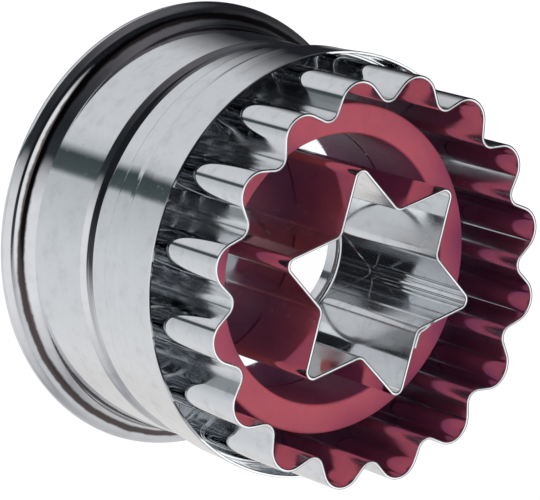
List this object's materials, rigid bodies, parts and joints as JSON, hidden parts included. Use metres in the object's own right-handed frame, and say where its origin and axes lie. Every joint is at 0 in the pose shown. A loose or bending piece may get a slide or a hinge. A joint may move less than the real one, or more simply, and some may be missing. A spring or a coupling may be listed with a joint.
{
  "type": "biscuit cutter with ejector",
  "caption": "Round fluted Linzer biscuit cutter with a star-shaped inner cutter, a pressed metal grip housing and a sprung red plastic ejector ring.",
  "frame": {"origin": "on the cutter's axis, in the plane that its rolled rim stands on, midway across its width", "axes": "+Z along the axis, out of the rolled rim towards the cutting edges; +X through one point of the star; +Y completes the right-handed frame and passes through an inner corner of the star, where its strip is lapped"},
  "size_m": [0.054, 0.054, 0.037],
  "materials": {
    "tinplate": "mirror-bright tinned steel with fine handling scratches",
    "spring_wire": "drawn wire, softly bright",
    "red_plastic": "moulded, smooth and slightly glossy",
    "screw_steel": "zinc-bright"
  },
  "bodies": {
    "cutter_body": {"housing": "tinplate", "rim_wire": "spring_wire", "front_band": "tinplate", "cutter_plate": "tinplate", "fluted_cutter": "tinplate", "star_cutter": "tinplate", "spring_seat": "tinplate", "return_spring": "spring_wire"},
    "ejector": {"ejector_ring": "red_plastic", "push_ring": "red_plastic", "push_ring_screws": "screw_steel"}
  },
  "joints": [
    {"name": "ejector_slide", "type": "slide", "parent": "cutter_body", "child": "ejector", "axis": [0, 0, 1], "range_m": [0, 0.008], "stiffness_N_per_m": 44, "springref_m": -0.009, "deforming": ["return_spring"]}
  ]
}
